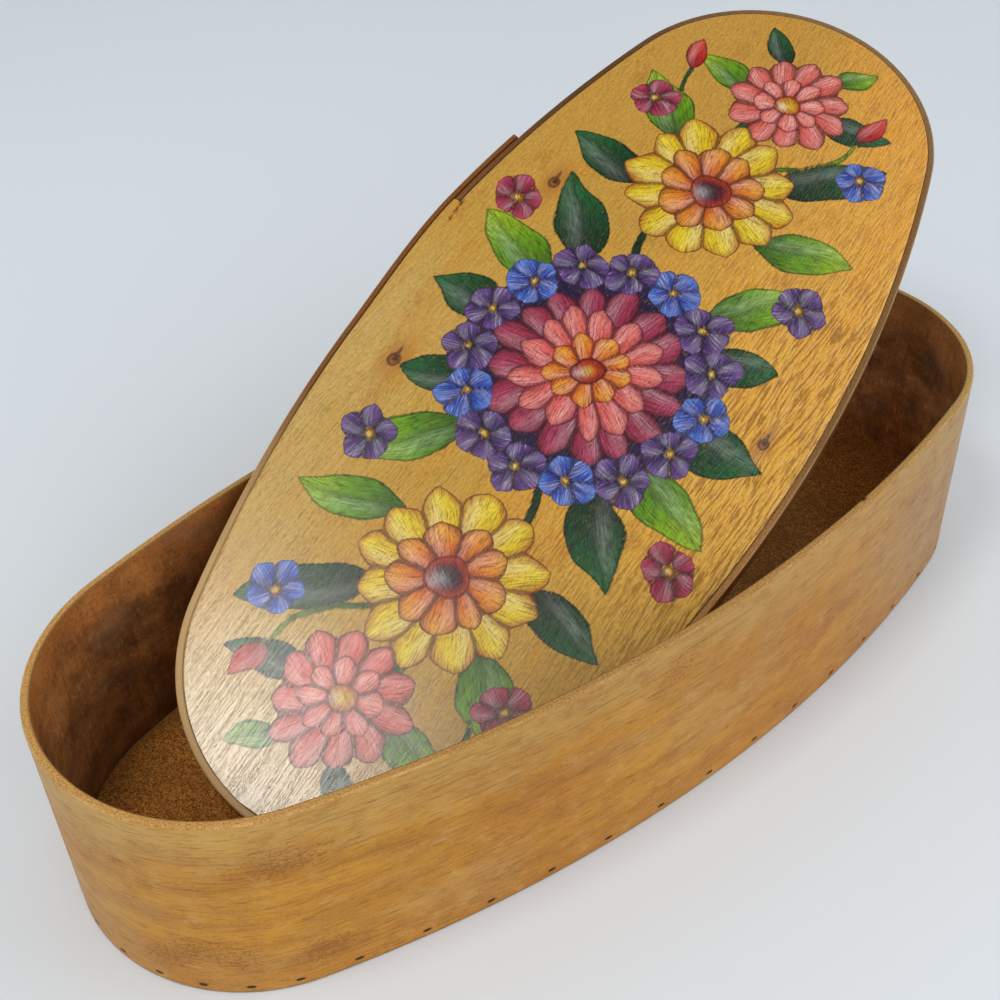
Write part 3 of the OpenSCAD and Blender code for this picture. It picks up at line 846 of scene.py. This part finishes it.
CORAL = [rgb(168, 40, 46), rgb(214, 84, 76), rgb(234, 132, 118)]
ORANGE = [rgb(182, 62, 14), rgb(220, 118, 24), rgb(234, 164, 52)]
VIOLET = [rgb(34, 16, 58), rgb(68, 38, 100), rgb(108, 78, 140)]
BLUE = [rgb(18, 30, 104), rgb(34, 66, 164), rgb(84, 122, 204)]
CRIMSON = [rgb(82, 8, 36), rgb(140, 24, 58), rgb(178, 64, 92)]
YELLOW = [rgb(190, 116, 6), rgb(222, 182, 8), rgb(234, 208, 40)]
RED = [rgb(126, 12, 14), rgb(186, 26, 28), rgb(216, 72, 58)]
DEEP = [rgb(6, 30, 16), rgb(12, 68, 34), rgb(28, 104, 50)]
LIME = [rgb(30, 80, 12), rgb(100, 150, 10), rgb(164, 196, 28)]
DARK = [rgb(10, 20, 12), rgb(16, 30, 18)]
FLAME = rgb(166, 46, 16)


def bloom(layer, at, radius, petals, width, colours, turn=0.0, root=0.15, **more):
    for k in range(petals):
        angle = turn + 360.0 * k / petals
        a = math.radians(angle)
        start = (at[0] + root * radius * math.cos(a), at[1] + root * radius * math.sin(a))
        layer.petal(start, angle, radius * (1 - root), width, colours, **more)


def decorate(xy):
    """Two halves, the second a half turn of the first, round one large bloom in the middle."""
    leaves, outer, middle, inner, florets = (Layer(xy) for _ in range(5))

    def leaf(at, angle, length, width, colours, bend):
        leaves.petal(at, angle, length, width, colours, belly=0.85, blunt=0.85, bend=bend, light=0.1, vein=True)

    def both(draw):
        for sign in (1, -1):
            draw(lambda p: (sign * p[0], sign * p[1]), 0 if sign > 0 else 180)

    def greens(at, turn):
        leaves.stem(at((30, 4)), at((90, 30)), at((160, 0)), 3.0, DEEP)
        leaves.stem(at((110, 8)), at((126, 44)), at((150, 42)), 2.2, DEEP)
        leaves.stem(at((112, 0)), at((132, -34)), at((152, -36)), 2.2, LIME)
        for p, angle, length, width, tint, bend in (
            ((26, 34), 66, 42, 22, LIME, 0.10), ((40, 28), 28, 42, 21, DEEP, 0.12),
            ((4, 40), 84, 36, 20, DEEP, 0.10), ((24, -34), -58, 30, 17, DEEP, -0.10),
            ((42, -26), -36, 44, 20, LIME, -0.12), ((86, 30), 66, 38, 19, DEEP, 0.14),
            ((112, 26), 36, 44, 19, LIME, 0.14), ((84, -24), -70, 40, 19, LIME, -0.12),
            ((112, -20), -40, 46, 20, DEEP, -0.14), ((150, 14), 62, 30, 14, LIME, 0.12),
            ((150, -18), -66, 30, 14, DEEP, -0.12), ((172, 10), 34, 22, 11, DEEP, 0.1),
            ((172, -12), -36, 22, 11, LIME, -0.1),
        ):
            leaf(at(p), angle + turn, length, width, tint, bend)
        leaves.disc(at((98, 4)), 22.0, DARK, 0.0)
        leaves.disc(at((154, -2)), 14.0, DARK, 0.0)

    def flowers(at, turn):
        bloom(outer, at((98, 4)), 35, 12, 17, YELLOW, turn=8 + turn, rim=FLAME)
        bloom(middle, at((98, 4)), 22, 9, 13, ORANGE, turn=20 + turn, rim=RED[0])
        bloom(outer, at((154, -2)), 25, 11, 12.5, CORAL, turn=4 + turn, rim=RED[0])
        bloom(middle, at((154, -2)), 15, 8, 9, [CORAL[1], CORAL[2], CORAL[2]], turn=20 + turn, rim=CORAL[0])
        lone = (((128, 46), CRIMSON, 18), ((133, -44), BLUE, 40), ((54, 67), CRIMSON, 10), ((66, -54), VIOLET, 60))
        for p, tint, angle in lone:
            bloom(florets, at(p), 10.5, 5, 10.5, tint, turn=angle + turn, root=0.05)
        for p, _, _ in lone:
            florets.disc(at(p), 3.2, [YELLOW[1], ORANGE[0]])
        for p, angle in (((150, 42), 8), ((152, -36), -8)):
            florets.petal(at(p), angle + turn, 17, 9, RED, belly=0.9, blunt=0.8)
        florets.disc(at((98, 4)), 8.0, [DARK[1], CRIMSON[0], ORANGE[0]])
        florets.disc(at((154, -2)), 5.0, [YELLOW[1], ORANGE[0]])

    both(greens)
    leaves.disc((0, 0), 50.0, [VIOLET[0], VIOLET[0]], 0.0)
    both(flowers)
    ring = 15
    for k in range(ring):
        a = 2 * math.pi * (k + 0.5) / ring
        at = (48.0 * math.cos(a), 46.0 * math.sin(a))
        bloom(florets, at, 10.8, 5, 11.0, (VIOLET, VIOLET, BLUE)[k % 3], turn=25.0 * k, root=0.03)
        florets.disc(at, 2.8, [YELLOW[2], ORANGE[1]])
    bloom(outer, (0, 0), 40, 16, 15, CRIMSON, turn=6, rim=CRIMSON[0])
    bloom(middle, (0, 0), 28, 13, 12, [CRIMSON[1], CORAL[1], CORAL[2]], turn=16, rim=CRIMSON[1])
    bloom(inner, (0, 0), 17, 9, 10, ORANGE, turn=2, rim=RED[1])
    florets.disc((0, 0), 7.0, [YELLOW[1], ORANGE[0], RED[0]])
    return {"leaves": leaves, "outer": outer, "middle": middle, "inner": inner, "florets": florets}


# Scars by the lap and knots of the panel: place, then half sizes or radius
SCRATCHES = ((39.6, 84.0, 2.4, 1.0), (35.4, 83.8, 3.0, 0.9), (31.0, 83.4, 1.8, 0.9))
KNOTS = ((68.0, 58.4, 2.3), (-35.0, 64.2, 2.4), (8.0, -70.0, 2.0))


def grain_of(xy):
    """Places along and across the grain, bent round each knot, and how dark the wood is round a knot or at a scar."""
    u, v = xy[:, 0].copy(), xy[:, 1] + 2.5 * np.sin(xy[:, 0] / 70.0)
    dark = np.zeros(len(xy))
    for x, y, r in KNOTS:
        d = np.hypot((xy[:, 0] - x) / 2.2, xy[:, 1] - y)
        v += np.tanh((xy[:, 1] - y) / 1.6) * 3.2 * np.exp(-(d / (3.5 * r)) ** 2)
        dark = np.maximum(dark, 0.28 * np.exp(-(d / (2.6 * r)) ** 2))
    for x, y, rx, ry in SCRATCHES:
        d = np.hypot((xy[:, 0] - x) / rx, (xy[:, 1] - y) / ry)
        dark = np.maximum(dark, np.clip(1.2 - d, 0, 0.6))
    return np.stack([u, v, dark], 1)


def draw_on_panel(piece):
    mesh = piece.data
    spot = np.zeros(len(mesh.vertices) * 3, np.float32)
    mesh.attributes["spot"].data.foreach_get("vector", spot)
    spot = spot.reshape(-1, 3).astype(float)
    layers = decorate(spot[:, :2])
    below = spot[:, 2] < -1.0

    def put(name, values):
        layer = mesh.attributes.new(name, "FLOAT_VECTOR", "POINT")
        layer.data.foreach_set("vector", np.asarray(values, np.float32).ravel())

    put("grain", grain_of(spot[:, :2]))
    for name, sheet in layers.items():
        sheet.inside[below], sheet.next[below] = -40.0, -80.0
        put(name + "_tint", sheet.tint)
        put(name + "_draw", np.column_stack([sheet.draw, sheet.depth()]))
    return list(layers)


# The pieces, each on its body and in place of its plain solid
def settle(piece, body, node, material):
    piece.data.materials.append(material)
    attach(piece, body)
    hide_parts(node)


settle(body_band(), "box", "body_band", side_material())
settle(bottom_board(), "box", "bottom_board", bottom_material())
dark = brad_material()
settle(brads("base_brads", brad_places(), 0.0, BRAD_Z, IDENTITY), "box", "bottom_brads", dark)
panel = lid_panel()
settle(panel, "lid", "lid_panel", panel_material(draw_on_panel(panel)))
settle(lid_band(), "lid", "lid_band", rim_material())
places = brad_places()
margin = HEAD_W / LAP_R * SIDE_R
clear = (places < back_s(END_A) - margin) | (places > back_s(FOOT_A) + margin)
settle(brads("lid_edge_brads", places[clear], LID_OUT, -PANEL_T / 2, lid_place), "lid", "lid_brads", dark)


# Stage, light and camera, in metres and watts
FLOOR_HALF, FLOOR_Z = 60.0, -0.0002
# The room's light: at its sides, overhead, as the camera and mirrors see it, and on its dim and its bright side
ROOM_SIDES, ROOM_TOP, ROOM_SEEN, ROOM_LEAN = 1.25, 0.12, 0.48, (0.75, 1.25)
ROOM_TONE, ROOM_BRIGHT = rgb(228, 233, 238), (0.78, -0.62)
# Each lamp's place, the point that it faces, its size, power and colour
LAMPS = {
    "overhead": ((-0.46, 0.0, 1.3), (-0.1, 0.0, 0.05), 0.32, 4.2, (1.0, 0.98, 0.92)),
    "front": ((-0.6, -1.35, 0.9), (0.0, 0.0, 0.05), 1.0, 4.0, (1.0, 0.99, 0.98)),
    "right": ((0.9, -0.75, 1.15), (0.2, 0.0, 0.05), 1.0, 3.6, (0.98, 0.99, 1.0)),
    "left": ((-1.2, 0.6, 1.2), (0.0, 0.0, 0.05), 1.0, 1.3, (1.0, 0.99, 0.98)),
}
# The camera, solved from the outlines in the photograph: focal length over picture width, place and axes
FOCAL, SENSOR = 1412.2 / 1000, 36.0
CAMERA_AT = (-0.2565055, -0.3049041, 0.4055738)
CAMERA_AXES = (
    (0.77966026, -0.62541248, -0.03145023),
    (0.41676523, 0.48075812, 0.77147805),
    (-0.46737204, -0.61459813, 0.63547817),
)


def floor():
    mesh = bpy.data.meshes.new("floor")
    corners = [(a * FLOOR_HALF, b * FLOOR_HALF, FLOOR_Z) for a, b in ((-1, -1), (1, -1), (1, 1), (-1, 1))]
    mesh.from_pydata(corners, [], [[0, 1, 2, 3]])
    piece = bpy.data.objects.new("floor", mesh)
    bpy.context.scene.collection.objects.link(piece)
    m = Shader("pale_floor")
    place = m.node("ShaderNodeTexCoord", {}).outputs["Object"]
    soft = m.noise(place, 1.5, 2.0, 0.5)
    tone = m.ramp(soft, [(0.3, rgb(226, 231, 235)), (0.7, rgb(230, 234, 238))])
    mesh.materials.append(m.finish(tone, 0.9, None, 0.1))


def area_light(name, at, towards, size, power, colour):
    lamp = bpy.data.lights.new(name, "AREA")
    lamp.energy, lamp.size, lamp.color = power, size, colour
    ob = bpy.data.objects.new(name, lamp)
    ob.location = at
    ob.rotation_euler = (Vector(towards) - Vector(at)).to_track_quat("-Z", "Y").to_euler()
    bpy.context.scene.collection.objects.link(ob)


def world():
    """A pale room: bright round the sides, dimmer overhead, and brighter to the right and the front."""
    room = bpy.data.worlds.new("studio")
    bpy.context.scene.world = room
    room.use_nodes = True
    sky = room.node_tree.nodes["Background"]
    sky.inputs[0].default_value = ROOM_TONE
    n = Nodes(room.node_tree)
    x, y, z = n.parts(n.node("ShaderNodeTexCoord", {}).outputs["Generated"])
    dim = n.fade(z, 0.45, 1.0, ROOM_SIDES, ROOM_TOP)
    toward = n.math("MULTIPLY_ADD", y, ROOM_BRIGHT[1], n.times(x, ROOM_BRIGHT[0]))
    lean = n.fade(toward, -1.0, 1.0, *ROOM_LEAN, "LINEAR")
    # The room is seen and mirrored at less than half its light, near the tone of the far floor
    rays = n.node("ShaderNodeLightPath", {}).outputs
    seen = rays["Is Camera Ray"]
    for name in ("Is Glossy Ray", "Is Transmission Ray"):
        seen = n.math("MAXIMUM", seen, rays[name])
    n.plug(sky.inputs[1], n.times(dim, n.fade(seen, 0.0, 1.0, lean, ROOM_SEEN, "LINEAR")))


def camera():
    cam = bpy.data.cameras.new("photo_camera")
    cam.sensor_width, cam.lens = SENSOR, FOCAL * SENSOR
    ob = bpy.data.objects.new("photo_camera", cam)
    ob.matrix_world = Matrix.Translation(CAMERA_AT) @ Matrix(CAMERA_AXES).transposed().to_4x4()
    bpy.context.scene.collection.objects.link(ob)
    bpy.context.scene.camera = ob


floor()
world()
for name, lamp in LAMPS.items():
    area_light(name, *lamp)
camera()
bpy.context.scene.view_settings.view_transform = "Standard"
